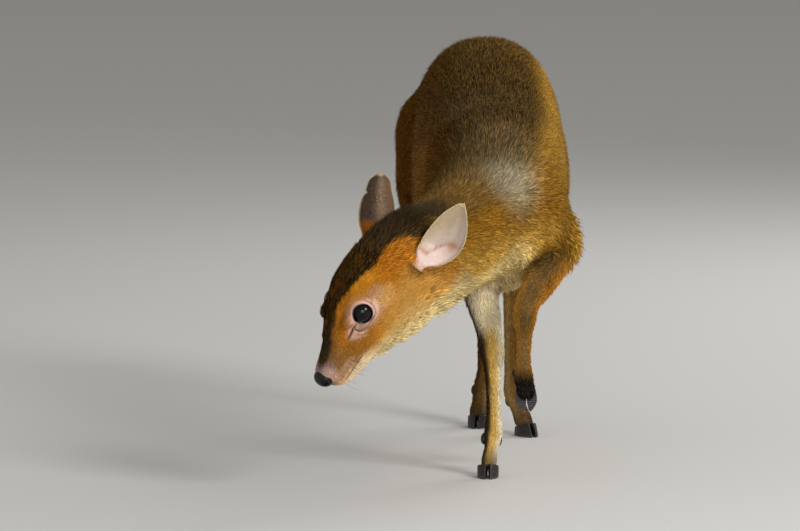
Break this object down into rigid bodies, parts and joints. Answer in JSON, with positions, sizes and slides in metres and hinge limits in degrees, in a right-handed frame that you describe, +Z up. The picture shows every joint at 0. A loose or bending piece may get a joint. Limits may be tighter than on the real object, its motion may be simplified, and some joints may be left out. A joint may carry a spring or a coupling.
{
  "type": "muntjac",
  "caption": "Life-size still model of a muntjac doe, standing with her head down to the ground, her neck turned to her right and her left forefoot lifted.",
  "frame": {"origin": "on the floor plane, under the middle of the whole doe's box", "axes": "+Z up, -Y the way her trunk faces, +X towards her left side"},
  "size_m": [0.3126, 0.7246, 0.4591],
  "materials": {
    "brown_coat": "short coarse hair, grizzled dark brown",
    "golden_coat": "short hair, golden brown",
    "face_coat": "very short hair, orange brown with a black crown",
    "pale_coat": "short hair, cream",
    "ear_skin": "thin, nearly bare skin",
    "eye_gloss": "wet black gloss",
    "nose_skin": "moist black skin",
    "hoof_horn": "dull black horn"
  },
  "bodies": {
    "root": {"torso": "brown_coat", "neck": "golden_coat", "tail": "golden_coat", "forearm_right": "golden_coat", "fore_shank_right": "pale_coat", "forearm_left": "golden_coat", "fore_shank_left": "pale_coat", "gaskin_left": "golden_coat", "hind_shank_left": "brown_coat", "gaskin_right": "golden_coat", "hind_shank_right": "brown_coat", "head": "face_coat", "nose": "nose_skin", "ear_left": "ear_skin", "eye_left": "eye_gloss", "ear_right": "ear_skin", "eye_right": "eye_gloss", "hoof_fore_right_outer": "hoof_horn", "dewclaw_fore_right_outer": "hoof_horn", "hoof_fore_right_inner": "hoof_horn", "dewclaw_fore_right_inner": "hoof_horn", "hoof_fore_left_outer": "hoof_horn", "dewclaw_fore_left_outer": "hoof_horn", "hoof_fore_left_inner": "hoof_horn", "dewclaw_fore_left_inner": "hoof_horn", "hoof_hind_left_outer": "hoof_horn", "dewclaw_hind_left_outer": "hoof_horn", "hoof_hind_left_inner": "hoof_horn", "dewclaw_hind_left_inner": "hoof_horn", "hoof_hind_right_outer": "hoof_horn", "dewclaw_hind_right_outer": "hoof_horn", "hoof_hind_right_inner": "hoof_horn", "dewclaw_hind_right_inner": "hoof_horn"}
  },
  "joints": []
}
